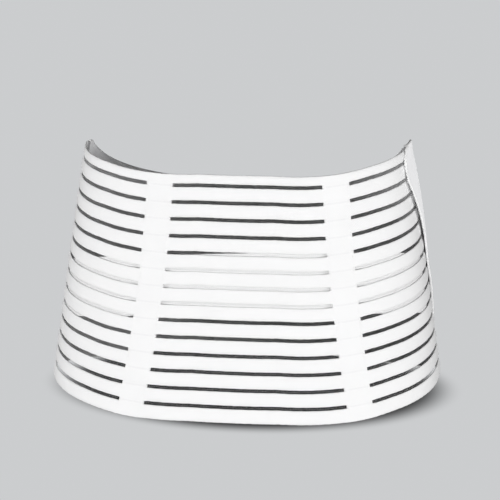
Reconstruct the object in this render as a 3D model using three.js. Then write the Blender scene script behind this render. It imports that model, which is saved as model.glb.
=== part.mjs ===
// Maternity support belt, in the round shape that it takes when worn.
// Millimetres. +Z is up, +Y is the belt's front and -Y its back, +X is to the right seen from behind.
// The origin is the middle of the opening that the waist fills, at half the belt's height.
// Every piece is a sheet that follows one body form, with its two faces at stated distances from that form.
import * as THREE from 'three';

// Belt
const BELT_HEIGHT = 230; // back and sides, top edge to bottom edge
const ELASTIC_THICKNESS = 1.6; // striped elastic
const LAYER_GAP = 0.3; // clearance between two layers that are sewn together
const BELT_TURN = 10.3; // how far the belt is worn round to the right of the spine

// Sheer rows of the striped elastic
const SLOT_COUNT = 14;
const SLOT_HEIGHT = 3.4;
const TOP_STRIP = 8.5; // solid strip above the first sheer row
const BOTTOM_STRIP = 12.7; // solid strip below the last one
const SLOT_END_MARGIN = 10; // solid cloth between a sheer row's end and the side seam

// Stay casings, measured along the back from the belt's centre line
const CASING_TOP_OFFSET = 80.8;
const CASING_BOTTOM_OFFSET = 111.7;
const CASING_BOW = 4.5; // how far a casing bends in towards the spine at half height
const CASING_WIDTH = 25;
const CASING_EDGE_THICKNESS = 1.0;
const STAY_BULGE = 1.3; // how much thicker the casing is over its stay
const CASING_END_INSET = 3; // a casing ends this far from the belt's edges

// Inner support band
const BAND_WIDTH = 58;
const BAND_THICKNESS = 1.4;
const BAND_HALF_LENGTH = 205; // along the back, from its middle to each end
const BAND_SHIFT = -10; // its middle to the right of the belt's centre line
const BAND_RISE = 13.1; // its middle above the belt's middle, at the spine
const BAND_TILT = 18.6; // degrees, down towards the front
const BAND_ROLL = 2.7; // degrees, up towards the right
const BAND_STEP_LENGTH = 12; // beside a casing, over which the band comes out to the elastic

// Front panels
const PANEL_THICKNESS = 2.0;
const SEAM_OVERLAP = 12; // how far a front panel reaches under the striped elastic
const FRONT_TOP_DROP = 24; // how far the top edge dips below its row at the centre front
const FRONT_BOTTOM_RISE = 22; // how far the bottom edge rises above its row there
const UNDER_PANEL_INSET = 3; // the under panel is this much lower at the top and higher at the bottom
const UNDER_PANEL_PAST_CENTRE = 36; // how far the under panel reaches past the centre front

// End of the outer panel, which closes on the right side
const FLAP_END_OFFSET = 179; // from the belt's centre line to the flap's rearmost line
const FLAP_END_RUN = 92; // how far the slanted end runs forward from top to bottom
const FLAP_CORNER = 18; // rounding of the top corner
const FLAP_SHOULDER = 27; // how far below the belt's top edge the slant begins
const FLAP_PROUD = 4; // how far its top corner stands above the belt's top edge
const FLAP_PROUD_REACH = 80; // how far forward from the end that fades out
const FLAP_GAPE = 3.4; // how far the free end stands off more where it gapes
const FLAP_GAPE_RISE = 52; // above the belt's middle, where it gapes most
const FLAP_GAPE_SPAN = 104; // height over which it gapes
const FLAP_GAPE_REACH = 80; // how far forward from the end the gape fades out
const HOOK_THICKNESS = 1.2;
const HOOK_INSET = 16; // from the hook tab to the side seam and to the flap's edges
const HOOK_LENGTH = 50;

// Body form that the belt is worn on: sizes at the belt's bottom edge
const HIP_WIDTH = 382;
const HIP_BACK_DEPTH = 130; // from the widest plane to the back
const HIP_FRONT_DEPTH = 126; // from the widest plane to the belly
const BACK_ROUNDNESS = 2.4; // exponent of the back half's oval, 2 is an ellipse
const FRONT_ROUNDNESS = 2.1;
const SIDE_LIFT = 7; // how much higher the belt sits at the sides than at the spine
const RIGHT_SIDE_LIFT = 3; // how much higher the right side sits, and lower the left
const CASING_SAG = 1.7; // how much lower a row hangs near the casings than at the spine
const SAG_MIDDLE = 0.5; // share of the half width at which it hangs lowest
const SAG_SPREAD = 0.28; // share of the half width to either side over which that fades out
const FRONT_FALL = 50; // how much lower the belt sits at the centre front than at the sides
const FALL_START = 6; // how far behind the widest plane that fall begins
const FALL_EASE = 1.25; // exponent of the fall, 1 is a straight slope

// Sections of the form at its bottom edge, half height and top edge, as shares of the sizes above
const FORM_SECTIONS = [
  { width: 1.0, back: 1.0, front: 1.0 },
  { width: 0.9076, back: 0.846, front: 0.95 },
  { width: 0.8084, back: 0.769, front: 0.9 },
];

// Key lines round the belt, from the spine (0) to the centre front (4), and the columns between them
const CASING_INNER = 1;
const CASING_OUTER = 2;
const SIDE_SEAM = 3;
const CENTRE_FRONT = 4;
const FULL_TURN = 2 * CENTRE_FRONT;
const SIDE_SEAM_SHARE = 0.54; // share of the half girth from the spine to the side seam
const CELLS_BETWEEN_KEYS = [6, 3, 13, 12];
const FORM_STEPS = 160; // straight steps in which half a section's girth is measured

const WHITE_ELASTIC = { color: 0xf7f7f8, roughness: 0.85, metalness: 0 };
const WHITE_CLOTH = { color: 0xf3f3f5, roughness: 0.9, metalness: 0 };
const HOOK_WHITE = { color: 0xeeeeee, roughness: 0.7, metalness: 0 };

const HALF_HEIGHT = BELT_HEIGHT / 2;
const clamp01 = (value) => Math.min(1, Math.max(0, value));
const lerp = (from, to, share) => from + (to - from) * share;
const smooth = (share) => {
  const t = clamp01(share);
  return t * t * (3 - 2 * t);
};
const radians = (degrees) => (degrees * Math.PI) / 180;

// Value of one column of the section table at a share of the height, on the parabola through its rows.
function sectionShare(column, height) {
  const [low, middle, high] = FORM_SECTIONS.map((row) => row[column]);
  const bend = 2 * (low - 2 * middle + high);
  const slope = high - low - bend;
  return low + slope * height + bend * height * height;
}

// A point of an oval at an angle from the spine, with its outward direction.
function ovalPoint(section, angle) {
  const sine = Math.sin(angle);
  const cosine = Math.cos(angle);
  const roundness = cosine >= 0 ? BACK_ROUNDNESS : FRONT_ROUNDNESS;
  const depth = cosine >= 0 ? section.back : section.front;
  const across = Math.sign(sine) * Math.abs(sine) ** (2 / roundness);
  const along = -Math.sign(cosine) * Math.abs(cosine) ** (2 / roundness);
  const outX = (Math.sign(across) * Math.abs(across) ** (roundness - 1)) / section.halfWidth;
  const outY = (Math.sign(along) * Math.abs(along) ** (roundness - 1)) / depth;
  const length = Math.hypot(outX, outY);
  return {
    x: section.halfWidth * across,
    y: depth * along,
    across,
    front: section.front,
    outX: outX / length,
    outY: outY / length,
  };
}

// The oval at height z: half its width, its depths, and its girth from the spine in straight steps.
const sections = new Map();
function sectionAt(z) {
  const key = z.toFixed(4);
  if (!sections.has(key)) {
    const height = z / BELT_HEIGHT + 0.5;
    const section = {
      halfWidth: (HIP_WIDTH / 2) * sectionShare('width', height),
      back: HIP_BACK_DEPTH * sectionShare('back', height),
      front: HIP_FRONT_DEPTH * sectionShare('front', height),
      girth: [0],
    };
    let previous = ovalPoint(section, 0);
    for (let step = 1; step <= FORM_STEPS; step += 1) {
      const next = ovalPoint(section, (step / FORM_STEPS) * Math.PI);
      section.girth.push(section.girth[step - 1] + Math.hypot(next.x - previous.x, next.y - previous.y));
      previous = next;
    }
    section.halfGirth = section.girth[FORM_STEPS];
    sections.set(key, section);
  }
  return sections.get(key);
}

// The oval's point at a distance along it from the spine, positive to the right.
function pointAlong(z, distance) {
  const section = sectionAt(z);
  const wanted = Math.min(Math.abs(distance), section.halfGirth);
  let step = 1;
  while (step < FORM_STEPS && section.girth[step] < wanted) step += 1;
  const before = section.girth[step - 1];
  const share = (wanted - before) / (section.girth[step] - before);
  const angle = ((step - 1 + share) / FORM_STEPS) * Math.PI;
  return ovalPoint(section, (Math.sign(distance) || 1) * angle);
}

// Distances of the key lines from the belt's centre line at height z.
function keyDistances(z) {
  const { halfGirth } = sectionAt(z);
  const height = z / BELT_HEIGHT + 0.5;
  const bow = 4 * CASING_BOW * height * (1 - height);
  const middle = lerp(CASING_BOTTOM_OFFSET, CASING_TOP_OFFSET, height) - bow;
  const seam = halfGirth * SIDE_SEAM_SHARE;
  return [0, middle - CASING_WIDTH / 2, middle + CASING_WIDTH / 2, seam, halfGirth];
}

// Places run round the belt from the spine: 1 to 4 are the key lines on the right, -1 to -4 on the left.
function wrapPlace(place) {
  return ((((place + CENTRE_FRONT) % FULL_TURN) + FULL_TURN) % FULL_TURN) - CENTRE_FRONT;
}

function distanceAt(place, z) {
  const wrapped = wrapPlace(place);
  const keys = keyDistances(z);
  const key = Math.min(Math.floor(Math.abs(wrapped)), CENTRE_FRONT - 1);
  return (Math.sign(wrapped) || 1) * lerp(keys[key], keys[key + 1], Math.abs(wrapped) - key);
}

function placeAt(distance, z) {
  const keys = keyDistances(z);
  const length = Math.abs(distance);
  let key = 0;
  while (key < CENTRE_FRONT - 1 && keys[key + 1] < length) key += 1;
  return (Math.sign(distance) || 1) * (key + (length - keys[key]) / (keys[key + 1] - keys[key]));
}

// How much a point of a level row is lifted: down near the casings, up at the sides, down to the front.
function liftAt(point) {
  const across = Math.abs(point.across);
  const side = point.y > 0 ? 1 : across ** 4;
  const sag = point.y > 0 ? 0 : clamp01(1 - ((across - SAG_MIDDLE) / SAG_SPREAD) ** 2);
  const forward = clamp01((point.y + FALL_START) / (point.front + FALL_START));
  const fall = FRONT_FALL * forward ** FALL_EASE;
  return SIDE_LIFT * side + RIGHT_SIDE_LIFT * point.across ** 3 - CASING_SAG * sag - fall;
}

// The form's point where a column line meets height z.
function columnAt(place, z) {
  const { halfGirth } = sectionAt(z);
  let distance = distanceAt(place, z) + BELT_TURN;
  if (distance > halfGirth) distance -= 2 * halfGirth;
  return pointAlong(z, distance);
}

function columnPoint(place, z, offset) {
  const point = columnAt(place, z);
  const x = point.x + point.outX * offset;
  const y = point.y + point.outY * offset;
  return new THREE.Vector3(x, y, z + liftAt(point));
}

// Columns of the form over one full turn, from the centre front round the back to the centre front.
const COLUMNS = (() => {
  const half = [0];
  CELLS_BETWEEN_KEYS.forEach((cells, key) => {
    for (let cell = 1; cell <= cells; cell += 1) half.push(key + cell / cells);
  });
  const left = half.slice(1).reverse().map((place) => -place);
  return [...left, ...half];
})();

// A point of the faceted form, straight between neighbouring columns, so that all layers stay parallel.
function formPoint(place, z, offset) {
  const wrapped = wrapPlace(place);
  let column = 1;
  while (column < COLUMNS.length - 1 && COLUMNS[column] <= wrapped) column += 1;
  const from = COLUMNS[column - 1];
  const to = COLUMNS[column];
  const share = (wrapped - from) / (to - from);
  return columnPoint(from, z, offset).lerp(columnPoint(to, z, offset), share);
}

// A sheet's columns: its ends, any extra ones, and the form's columns between them that aren't too close.
function placesBetween(from, to, extra = []) {
  const closest = 0.003;
  const fixed = [from, to, ...extra];
  const around = [...COLUMNS.slice(1), ...COLUMNS.slice(1).map((place) => place + FULL_TURN)];
  const isClear = (place) => fixed.every((other) => Math.abs(other - place) > closest);
  const between = around.filter((place) => place > from && place < to && isClear(place));
  return [...fixed, ...between].sort((first, second) => first - second);
}

// Closed sheet on a grid: at(i, j) gives a corner's { place, z, inner, outer }, isOpen(i, j) opens a cell.
function sheetGeometry(columns, rows, at, isOpen = () => false) {
  const positions = [];
  const faces = [];
  const known = new Map();
  const corner = ([i, j], side) => {
    const key = `${i},${j},${side}`;
    if (!known.has(key)) {
      const spot = at(i, j);
      const point = formPoint(spot.place, spot.z, spot[side]);
      known.set(key, positions.length / 3);
      positions.push(point.x, point.y, point.z);
    }
    return known.get(key);
  };
  const isSolid = (i, j) => i >= 0 && j >= 0 && i < columns && j < rows && !isOpen(i, j);
  for (let i = 0; i < columns; i += 1) {
    for (let j = 0; j < rows; j += 1) {
      if (!isSolid(i, j)) continue;
      const ring = [[i, j], [i + 1, j], [i + 1, j + 1], [i, j + 1]];
      const [a, b, c, d] = ring.map((spot) => corner(spot, 'outer'));
      const [e, f, g, h] = ring.map((spot) => corner(spot, 'inner'));
      faces.push(a, b, c, a, c, d, e, g, f, e, h, g);
      const neighbours = [[i, j - 1], [i + 1, j], [i, j + 1], [i - 1, j]];
      neighbours.forEach(([u, v], edge) => {
        if (isSolid(u, v)) return;
        const outerStart = corner(ring[edge], 'outer');
        const outerEnd = corner(ring[(edge + 1) % 4], 'outer');
        const innerStart = corner(ring[edge], 'inner');
        const innerEnd = corner(ring[(edge + 1) % 4], 'inner');
        faces.push(outerEnd, outerStart, innerStart, outerEnd, innerStart, innerEnd);
      });
    }
  }
  const geometry = new THREE.BufferGeometry();
  geometry.setAttribute('position', new THREE.Float32BufferAttribute(positions, 3));
  geometry.setIndex(faces);
  geometry.computeVertexNormals();
  return geometry;
}

function pieceOf(name, geometry, finish) {
  const mesh = new THREE.Mesh(geometry, new THREE.MeshStandardMaterial(finish));
  mesh.name = name;
  return mesh;
}

// A plain sheet over the given places, between two edge functions, with its faces from layer(place, z).
function plainSheet(name, finish, places, rows, lowEdge, highEdge, layer) {
  const at = (i, j) => {
    const place = places[i];
    const z = lerp(lowEdge(place), highEdge(place), j / rows);
    return { place, z, ...layer(place, z) };
  };
  return pieceOf(name, sheetGeometry(places.length - 1, rows, at), finish);
}

// Heights of the striped elastic's strip edges, from the bottom edge up: strip, sheer row, strip and so on.
function stripEdges() {
  const firstSlot = -HALF_HEIGHT + BOTTOM_STRIP;
  const lastSlot = HALF_HEIGHT - TOP_STRIP - SLOT_HEIGHT;
  const edges = [-HALF_HEIGHT];
  for (let slot = 0; slot < SLOT_COUNT; slot += 1) {
    const low = lerp(firstSlot, lastSlot, slot / (SLOT_COUNT - 1));
    edges.push(low, low + SLOT_HEIGHT);
  }
  edges.push(HALF_HEIGHT);
  return edges;
}

// Place at a length behind the side seam, which is where a slot ends or a front panel begins.
function placeBehindSeam(length) {
  const keys = keyDistances(0);
  return SIDE_SEAM - length / (keys[SIDE_SEAM] - keys[CASING_OUTER]);
}

// Place at a length forward of the side seam.
function placeBeforeSeam(length) {
  const keys = keyDistances(0);
  return SIDE_SEAM + length / (keys[CENTRE_FRONT] - keys[SIDE_SEAM]);
}

// One piece of elastic round the back and sides, open at every sheer row except at the casings and seams.
function stripedElastic() {
  const edges = stripEdges();
  const slotEnd = placeBehindSeam(SLOT_END_MARGIN);
  const places = placesBetween(-SIDE_SEAM, SIDE_SEAM, [-slotEnd, slotEnd]);
  const at = (i, j) => ({ place: places[i], z: edges[j], inner: -ELASTIC_THICKNESS, outer: 0 });
  const isOpen = (i, j) => {
    const middle = Math.abs((places[i] + places[i + 1]) / 2);
    const overCasing = middle > CASING_INNER && middle < CASING_OUTER;
    return j % 2 === 1 && !overCasing && middle < slotEnd;
  };
  const geometry = sheetGeometry(places.length - 1, edges.length - 1, at, isOpen);
  return pieceOf('striped_elastic', geometry, WHITE_ELASTIC);
}

// Sewn tunnel on the elastic's inner face, thicker over its stay; side is 1 on the right, -1 on the left.
function stayCasing(name, side) {
  const first = side > 0 ? CASING_INNER : -CASING_OUTER;
  const places = placesBetween(first, first + 1);
  const outer = -ELASTIC_THICKNESS - LAYER_GAP;
  const layer = (place) => {
    const isEdge = place === places[0] || place === places[places.length - 1];
    return { inner: outer - CASING_EDGE_THICKNESS - (isEdge ? 0 : STAY_BULGE), outer };
  };
  const rows = 10;
  const low = () => -HALF_HEIGHT + CASING_END_INSET;
  const high = () => HALF_HEIGHT - CASING_END_INSET;
  return plainSheet(name, WHITE_CLOTH, places, rows, low, high, layer);
}

// Depth of the inner band's outer face: on the striped elastic, and over each casing and its stay.
function bandDepth(place) {
  const keys = keyDistances(BAND_RISE);
  const distance = Math.abs(distanceAt(place, BAND_RISE));
  const besideCasing = Math.max(keys[CASING_INNER] - distance, distance - keys[CASING_OUTER]);
  const onElastic = ELASTIC_THICKNESS + LAYER_GAP;
  const onCasing = onElastic + CASING_EDGE_THICKNESS + LAYER_GAP;
  const ontoStay = smooth((-3 * besideCasing) / CASING_WIDTH);
  return lerp(onCasing, onElastic, smooth(besideCasing / BAND_STEP_LENGTH)) + STAY_BULGE * ontoStay;
}

// Plain elastic band inside the back, over the casings.
function innerSupportBand() {
  const leftEnd = placeAt(BAND_SHIFT - BAND_HALF_LENGTH, BAND_RISE);
  const rightEnd = placeAt(BAND_SHIFT + BAND_HALF_LENGTH, BAND_RISE);
  const spine = columnAt(0, BAND_RISE);
  const middle = (place) => {
    const point = columnAt(place, BAND_RISE);
    const fall = Math.tan(radians(BAND_TILT)) * (point.y - spine.y);
    return BAND_RISE - fall + Math.tan(radians(BAND_ROLL)) * point.x - liftAt(point);
  };
  const layer = (place) => {
    const outer = -bandDepth(place);
    return { inner: outer - BAND_THICKNESS, outer };
  };
  const rows = 4;
  const low = (place) => middle(place) - BAND_WIDTH / 2;
  const high = (place) => middle(place) + BAND_WIDTH / 2;
  const places = placesBetween(leftEnd, rightEnd);
  return plainSheet('inner_support_band', WHITE_ELASTIC, places, rows, low, high, layer);
}

// Share of the way from the side seam to the centre front, 0 behind the seam.
function frontShare(place) {
  return clamp01((Math.abs(wrapPlace(place)) - SIDE_SEAM) / (CENTRE_FRONT - SIDE_SEAM));
}

const frontBottom = (place) => -HALF_HEIGHT + FRONT_BOTTOM_RISE * smooth(frontShare(place));
const frontTop = (place) => HALF_HEIGHT - FRONT_TOP_DROP * (1 - (1 - frontShare(place)) ** 3);

// Outer faces of the layers at the front, as distances from the striped elastic's outer face.
const UNDER_PANEL_FACE = -ELASTIC_THICKNESS - LAYER_GAP;
const SEWN_FACE = UNDER_PANEL_FACE - PANEL_THICKNESS;
const HOOK_ROOM = HOOK_THICKNESS + 2 * LAYER_GAP;

// Place of the under panel's far end, past the centre front.
function underPanelEnd() {
  return placeBeforeSeam(UNDER_PANEL_PAST_CENTRE) - SIDE_SEAM + CENTRE_FRONT;
}

// Right front panel, under the flap: from beneath the right side seam to just past the centre front.
function underPanel() {
  const places = placesBetween(placeBehindSeam(SEAM_OVERLAP), underPanelEnd());
  const layer = () => ({ inner: SEWN_FACE, outer: UNDER_PANEL_FACE });
  const rows = 6;
  const low = (place) => frontBottom(place) + UNDER_PANEL_INSET;
  const high = (place) => frontTop(place) - UNDER_PANEL_INSET;
  return plainSheet('front_panel_right', WHITE_CLOTH, places, rows, low, high, layer);
}

// Distance forward of the flap's rearmost line at a place, along the belt's middle height.
function forwardOfFlapEnd(place) {
  const distance = distanceAt(place, 0);
  const { halfGirth } = sectionAt(0);
  const fromSpine = distance > 0 ? distance : distance + 2 * halfGirth;
  return fromSpine - FLAP_END_OFFSET;
}

// Lower edge of the flap: it slants down from the top corner to the bottom edge.
function flapBottom(place) {
  const run = clamp01(forwardOfFlapEnd(place) / FLAP_END_RUN);
  const slant = lerp(HALF_HEIGHT - FLAP_SHOULDER, -HALF_HEIGHT, run);
  return Math.max(slant, frontBottom(place));
}

// Top edge of the flap: rounded corner a little proud of the belt, then the dip of the front's top edge.
function flapTop(place) {
  const behind = forwardOfFlapEnd(place);
  const cut = 1 - clamp01(behind / FLAP_CORNER);
  const rounding = FLAP_CORNER * (1 - Math.sqrt(1 - cut * cut));
  const proud = FLAP_PROUD * (1 - smooth(behind / FLAP_PROUD_REACH));
  return frontTop(place) + proud - rounding;
}

// Distance of the flap's inner face from the striped elastic's outer face.
function flapInner(place, z) {
  const pastSeam = (place - SIDE_SEAM) / (placeBeforeSeam(HOOK_INSET) - SIDE_SEAM);
  const pastUnder = (place - underPanelEnd()) / (FULL_TURN - SIDE_SEAM - underPanelEnd());
  const closed = lerp(LAYER_GAP, UNDER_PANEL_FACE + HOOK_ROOM, smooth(pastSeam));
  const rise = 1 - ((z - FLAP_GAPE_RISE) / (FLAP_GAPE_SPAN / 2)) ** 2;
  const gape = FLAP_GAPE * clamp01(rise) * (1 - smooth(forwardOfFlapEnd(place) / FLAP_GAPE_REACH));
  return lerp(closed, SEWN_FACE, smooth(pastUnder)) + gape;
}

// Left front panel: from beneath the left side seam, across the front, to its slanted end on the right.
function outerPanel() {
  const start = placeAt(FLAP_END_OFFSET, 0);
  const corner = [0.15, 0.45, 1].map((share) => placeAt(FLAP_END_OFFSET + share * FLAP_CORNER, 0));
  const places = placesBetween(start, FULL_TURN - placeBehindSeam(SEAM_OVERLAP), corner);
  const layer = (place, z) => {
    const inner = flapInner(place, z);
    return { inner, outer: inner + PANEL_THICKNESS };
  };
  return plainSheet('front_panel_left', WHITE_CLOTH, places, 9, flapBottom, flapTop, layer);
}

// Hook patch on the flap's inner face, closing on the right front panel.
function hookTab() {
  const places = placesBetween(placeBeforeSeam(HOOK_INSET), placeBeforeSeam(HOOK_INSET + HOOK_LENGTH));
  const layer = (place, z) => {
    const outer = flapInner(place, z) - LAYER_GAP;
    return { inner: outer - HOOK_THICKNESS, outer };
  };
  const low = (place) => flapBottom(place) + HOOK_INSET;
  const high = (place) => flapTop(place) - HOOK_INSET;
  return plainSheet('hook_tab', HOOK_WHITE, places, 7, low, high, layer);
}

const belt = new THREE.Group();
belt.add(stripedElastic());
belt.add(stayCasing('stay_casing_left', -1));
belt.add(stayCasing('stay_casing_right', 1));
belt.add(innerSupportBand());
belt.add(underPanel());
belt.add(outerPanel());
belt.add(hookTab());

export default belt;
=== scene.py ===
"""Maternity support belt: the finish of every piece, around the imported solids.

Metres. +Z is up, +Y is the belt's front, -Y its back, +X is to the right seen from behind.
Each piece is a sheet that follows one body form. A sheet is a grid of places round the belt by heights,
worked out as whole arrays, with its inner and outer face at stated distances from the form.
"""

import bpy
import numpy as np
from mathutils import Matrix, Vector


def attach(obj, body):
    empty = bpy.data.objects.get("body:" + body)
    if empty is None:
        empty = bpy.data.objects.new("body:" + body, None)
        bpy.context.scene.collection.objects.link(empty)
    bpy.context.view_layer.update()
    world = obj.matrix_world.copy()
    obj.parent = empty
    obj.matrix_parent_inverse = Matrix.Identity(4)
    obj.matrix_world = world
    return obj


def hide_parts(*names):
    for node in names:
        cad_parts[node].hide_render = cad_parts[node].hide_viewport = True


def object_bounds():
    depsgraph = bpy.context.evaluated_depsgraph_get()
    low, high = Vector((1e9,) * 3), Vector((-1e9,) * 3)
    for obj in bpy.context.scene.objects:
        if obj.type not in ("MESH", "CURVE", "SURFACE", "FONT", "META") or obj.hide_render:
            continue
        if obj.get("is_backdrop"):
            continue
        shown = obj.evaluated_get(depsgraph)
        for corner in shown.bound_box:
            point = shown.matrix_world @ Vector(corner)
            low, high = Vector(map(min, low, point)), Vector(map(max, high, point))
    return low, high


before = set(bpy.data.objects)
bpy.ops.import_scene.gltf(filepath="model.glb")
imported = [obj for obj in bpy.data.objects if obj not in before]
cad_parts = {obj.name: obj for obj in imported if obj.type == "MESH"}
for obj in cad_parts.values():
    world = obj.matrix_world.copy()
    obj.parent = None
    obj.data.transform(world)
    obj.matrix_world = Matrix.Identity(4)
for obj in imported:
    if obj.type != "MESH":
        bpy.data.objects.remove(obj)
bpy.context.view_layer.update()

MM = 0.001

# Belt
BELT_HEIGHT = 230 * MM
HALF_HEIGHT = BELT_HEIGHT / 2
ELASTIC_THICKNESS = 1.6 * MM
LAYER_GAP = 0.3 * MM
BELT_TURN = 10.3 * MM

# Sheer rows of the striped elastic
SLOT_COUNT = 14
SLOT_HEIGHT = 3.4 * MM
TOP_STRIP = 8.5 * MM
BOTTOM_STRIP = 12.7 * MM
SLOT_END_MARGIN = 10 * MM

# Stay casings
CASING_TOP_OFFSET = 80.8 * MM
CASING_BOTTOM_OFFSET = 111.7 * MM
CASING_BOW = 4.5 * MM
CASING_WIDTH = 25 * MM
CASING_EDGE_THICKNESS = 1.0 * MM
STAY_BULGE = 1.3 * MM
CASING_END_INSET = 3 * MM

# Inner support band
BAND_WIDTH = 58 * MM
BAND_THICKNESS = 1.4 * MM
BAND_HALF_LENGTH = 205 * MM
BAND_SHIFT = -10 * MM
BAND_RISE = 13.1 * MM
BAND_TILT = np.radians(18.6)
BAND_ROLL = np.radians(2.7)
BAND_STEP_LENGTH = 12 * MM

# Front panels
PANEL_THICKNESS = 2.0 * MM
SEAM_OVERLAP = 12 * MM
FRONT_TOP_DROP = 24 * MM
FRONT_BOTTOM_RISE = 22 * MM
UNDER_PANEL_INSET = 3 * MM
UNDER_PANEL_PAST_CENTRE = 36 * MM

# End of the outer panel, which closes on the right side
FLAP_END_OFFSET = 179 * MM
FLAP_END_RUN = 92 * MM
FLAP_CORNER = 18 * MM
FLAP_SHOULDER = 27 * MM
FLAP_PROUD = 4 * MM
FLAP_PROUD_REACH = 80 * MM
FLAP_GAPE = 3.4 * MM
FLAP_GAPE_RISE = 52 * MM
FLAP_GAPE_SPAN = 104 * MM
FLAP_GAPE_REACH = 80 * MM
HOOK_THICKNESS = 1.2 * MM
HOOK_INSET = 16 * MM
HOOK_LENGTH = 50 * MM

# Body form: sizes at the belt's bottom edge, and their shares at the bottom, half height and top
HIP_WIDTH = 382 * MM
HIP_BACK_DEPTH = 130 * MM
HIP_FRONT_DEPTH = 126 * MM
WIDTH_SHARES = (1.0, 0.9076, 0.8084)
BACK_SHARES = (1.0, 0.846, 0.769)
FRONT_SHARES = (1.0, 0.95, 0.9)
BACK_ROUNDNESS = 2.4
FRONT_ROUNDNESS = 2.1
SIDE_LIFT = 7 * MM
RIGHT_SIDE_LIFT = 3 * MM
CASING_SAG = 1.7 * MM
SAG_MIDDLE = 0.5
SAG_SPREAD = 0.28
FRONT_FALL = 50 * MM
FALL_START = 6 * MM
FALL_EASE = 1.25

# Key lines round the belt, from the spine (0) to the centre front (4)
CASING_INNER = 1
CASING_OUTER = 2
SIDE_SEAM = 3
CENTRE_FRONT = 4
FULL_TURN = 2 * CENTRE_FRONT
SIDE_SEAM_SHARE = 0.54

SLOT_LOWS = np.linspace(-HALF_HEIGHT + BOTTOM_STRIP, HALF_HEIGHT - TOP_STRIP - SLOT_HEIGHT, SLOT_COUNT)
SLOT_HIGHS = SLOT_LOWS + SLOT_HEIGHT
SLOT_PITCH = float(SLOT_LOWS[1] - SLOT_LOWS[0])
SLOT_MIDDLE = float(SLOT_LOWS[0]) + SLOT_HEIGHT / 2

# Softness of the cloth, which the solids leave out, and the width of a painted shade line along each row
# over casings and seams
STRIP_CROWN = 0.9 * MM
STRIP_BACK_CROWN = 0.25 * MM
CASING_CROWN_SHARE = 0.3
ROW_SHADE_WIDTH = 1.6 * MM

# Steps between the points of a sheet
CLOTH_STEP = 2.0 * MM
PANEL_STEP = 3.0 * MM

# Sheer net: its threads lie inside the elastic's thickness and are held in the strips
NET_PITCH = 2.1 * MM
NET_THREAD = 0.05 * MM
NET_DEPTH = 0.9 * MM
NET_LEAN = 0.3 * MM
NET_HOLD = 0.4 * MM

# Camera: looks at the belt's back from its right, a little from above
VIEW_AZIMUTH = np.radians(5.8)
VIEW_ELEVATION = np.radians(18)
VIEW_DISTANCE = 1.8
VIEW_TARGET = Vector((0.00295, 0.0003, 0.0122))
VIEW_LENS = 133.4
SENSOR_WIDTH = 36


def smooth(share):
    """Eased step: t squared times (3 - 2t), with t the share held between 0 and 1."""
    t = np.clip(share, 0, 1)
    return t * t * (3 - 2 * t)


def lerp(start, end, share):
    """From start to end by a share, straight."""
    return start + (end - start) * share


def section_share(shares, height):
    """The parabola through three shares, at the bottom, half height and top."""
    low, middle, high = shares
    bend = 2 * (low - 2 * middle + high)
    slope = high - low - bend
    return low + slope * height + bend * height**2


def section_sizes(z):
    """Half the width, the back depth and the front depth of the form's oval at height z."""
    height = z / BELT_HEIGHT + 0.5
    half_width = HIP_WIDTH / 2 * section_share(WIDTH_SHARES, height)
    back = HIP_BACK_DEPTH * section_share(BACK_SHARES, height)
    return half_width, back, HIP_FRONT_DEPTH * section_share(FRONT_SHARES, height)


def oval(angle, sizes):
    """The oval's points at an angle from the spine, with their outward directions.

    The sine and cosine of the angle, each raised to 2 over the roundness, give the shares of the half
    width and of the depth; the outward direction is the gradient of the oval's own equation.
    """
    half_width, back, front = sizes
    sine, cosine = np.sin(angle), np.cos(angle)
    behind = cosine >= 0
    roundness = np.where(behind, BACK_ROUNDNESS, FRONT_ROUNDNESS)
    depth = np.where(behind, back, front)
    across = np.sign(sine) * np.abs(sine) ** (2 / roundness)
    along = -np.sign(cosine) * np.abs(cosine) ** (2 / roundness)
    out_x = np.sign(across) * np.abs(across) ** (roundness - 1) / half_width
    out_y = np.sign(along) * np.abs(along) ** (roundness - 1) / depth
    length = np.hypot(out_x, out_y)
    return half_width * across, depth * along, across, out_x / length, out_y / length


# Girth tables: at each of these heights, a little past both edges, the angle at which a share of half
# the girth is reached
TABLE_REACH = 1.06
TABLE_HEIGHTS = np.linspace(-TABLE_REACH * HALF_HEIGHT, TABLE_REACH * HALF_HEIGHT, 93)
TABLE_SHARES = np.linspace(0, 1, 721)
TABLE_ANGLES = np.linspace(0, np.pi, 2401)


def girth_tables():
    """Half girth at each table height, and the angle for each share of it, from summed short steps."""
    x, y, *_ = oval(TABLE_ANGLES[None, :], [size[:, None] for size in section_sizes(TABLE_HEIGHTS)])
    steps = np.hypot(np.diff(x, axis=1), np.diff(y, axis=1))
    lengths = np.concatenate([np.zeros((len(x), 1)), np.cumsum(steps, axis=1)], axis=1)
    half = lengths[:, -1]
    reached = [np.interp(TABLE_SHARES * girth, row, TABLE_ANGLES) for girth, row in zip(half, lengths)]
    return half, np.array(reached)


HALF_GIRTHS, ANGLES = girth_tables()


def half_girth(z):
    """Half the oval's length at height z, read between the table's entries."""
    return np.interp(z, TABLE_HEIGHTS, HALF_GIRTHS)


def angle_along(distance, z):
    """Angle from the spine at a distance along the oval at height z, read between table entries."""
    row = (z - TABLE_HEIGHTS[0]) / (TABLE_HEIGHTS[1] - TABLE_HEIGHTS[0])
    column = np.clip(np.abs(distance) / half_girth(z), 0, 1) * (len(TABLE_SHARES) - 1)
    i = np.clip(np.floor(row).astype(int), 0, len(TABLE_HEIGHTS) - 2)
    j = np.clip(np.floor(column).astype(int), 0, len(TABLE_SHARES) - 2)
    lower = lerp(ANGLES[i, j], ANGLES[i, j + 1], column - j)
    upper = lerp(ANGLES[i + 1, j], ANGLES[i + 1, j + 1], column - j)
    return np.where(distance < 0, -1, 1) * lerp(lower, upper, row - i)


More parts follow.
